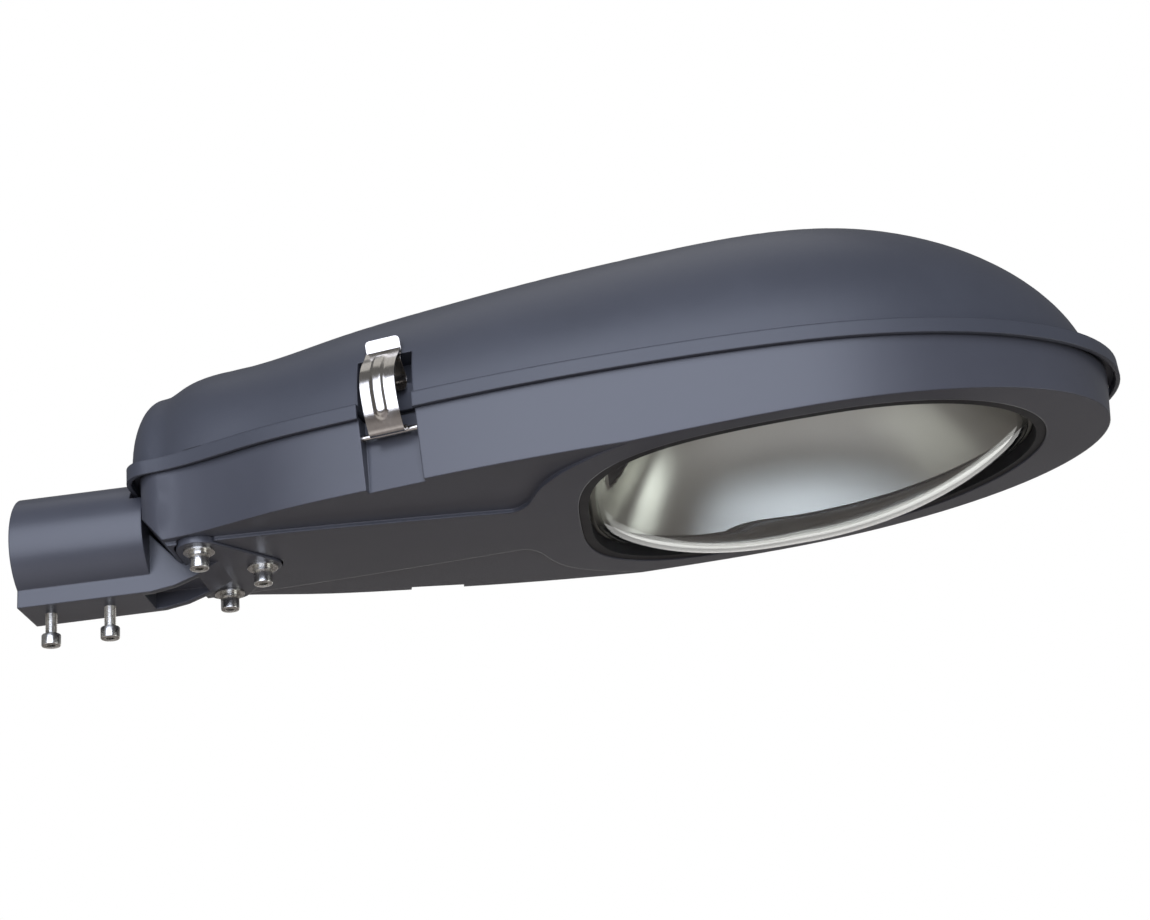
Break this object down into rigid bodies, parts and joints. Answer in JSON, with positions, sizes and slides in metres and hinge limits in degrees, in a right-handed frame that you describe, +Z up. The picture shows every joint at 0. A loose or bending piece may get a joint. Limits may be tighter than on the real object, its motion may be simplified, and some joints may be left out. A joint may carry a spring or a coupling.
{
  "type": "street light head",
  "caption": "Teardrop sodium street light head with a domed hinged cover, side latches, clear bowl glass, reflector, control gear and a clamp spigot for a pole arm.",
  "frame": {"origin": "on the spigot axis at its open end", "axes": "+X along the spigot axis towards the nose, +Z up, the lens faces down"},
  "size_m": [0.77, 0.2771, 0.2257],
  "materials": {
    "cover_paint": "matte dark blue grey powder coat",
    "housing_paint": "fine grained grey powder coat on die cast aluminium",
    "zinc_steel": "zinc plated",
    "stainless": "satin stainless",
    "black_rubber": "matte silicone",
    "clear_glass": "clear tempered",
    "satin_aluminium": "satin anodised",
    "porcelain": "unglazed white porcelain",
    "core_steel": "varnished steel laminations",
    "coil_copper": "varnished copper winding",
    "gear_plastic": "moulded"
  },
  "bodies": {
    "housing": {"spigot_adaptor": "housing_paint", "flange_bolts": "zinc_steel", "flange_washers": "zinc_steel", "spring_washers": "zinc_steel", "clamp_screws": "zinc_steel", "lower_housing": "housing_paint", "cover_gasket": "black_rubber", "cover_hinge_pin": "stainless", "latch_pins": "stainless", "lens_gasket": "black_rubber", "bowl_glass": "clear_glass", "reflector": "satin_aluminium", "retaining_clips": "zinc_steel", "clip_screws": "zinc_steel", "lampholder": "porcelain", "lampholder_bracket": "zinc_steel", "bracket_screws": "zinc_steel", "gear_tray": "zinc_steel", "tray_screws": "zinc_steel", "ballast_core": "core_steel", "ballast_coil": "coil_copper", "capacitor": "satin_aluminium", "capacitor_clip": "zinc_steel", "ignitor": "gear_plastic", "terminal_block": "gear_plastic", "gear_screws": "zinc_steel", "cable_grommet": "black_rubber"},
    "cover": {"upper_cover": "cover_paint"},
    "left_latch": {"left_latch_strap": "stainless", "left_latch_leaf": "stainless"},
    "right_latch": {"right_latch_strap": "stainless", "right_latch_leaf": "stainless"}
  },
  "joints": [
    {"name": "cover_hinge", "type": "hinge", "parent": "housing", "child": "cover", "pos_m": [0.7565, 0, 0.0165], "axis": [0, 1, 0], "range_deg": [0, 65]},
    {"name": "left_latch_pivot", "type": "hinge", "parent": "housing", "child": "left_latch", "pos_m": [0.27368, 0.10109, 0.011], "axis": [-0.9783, -0.2074, 0], "range_deg": [0, 110]},
    {"name": "right_latch_pivot", "type": "hinge", "parent": "housing", "child": "right_latch", "pos_m": [0.27368, -0.10109, 0.011], "axis": [0.9783, -0.2074, 0], "range_deg": [0, 110]}
  ]
}
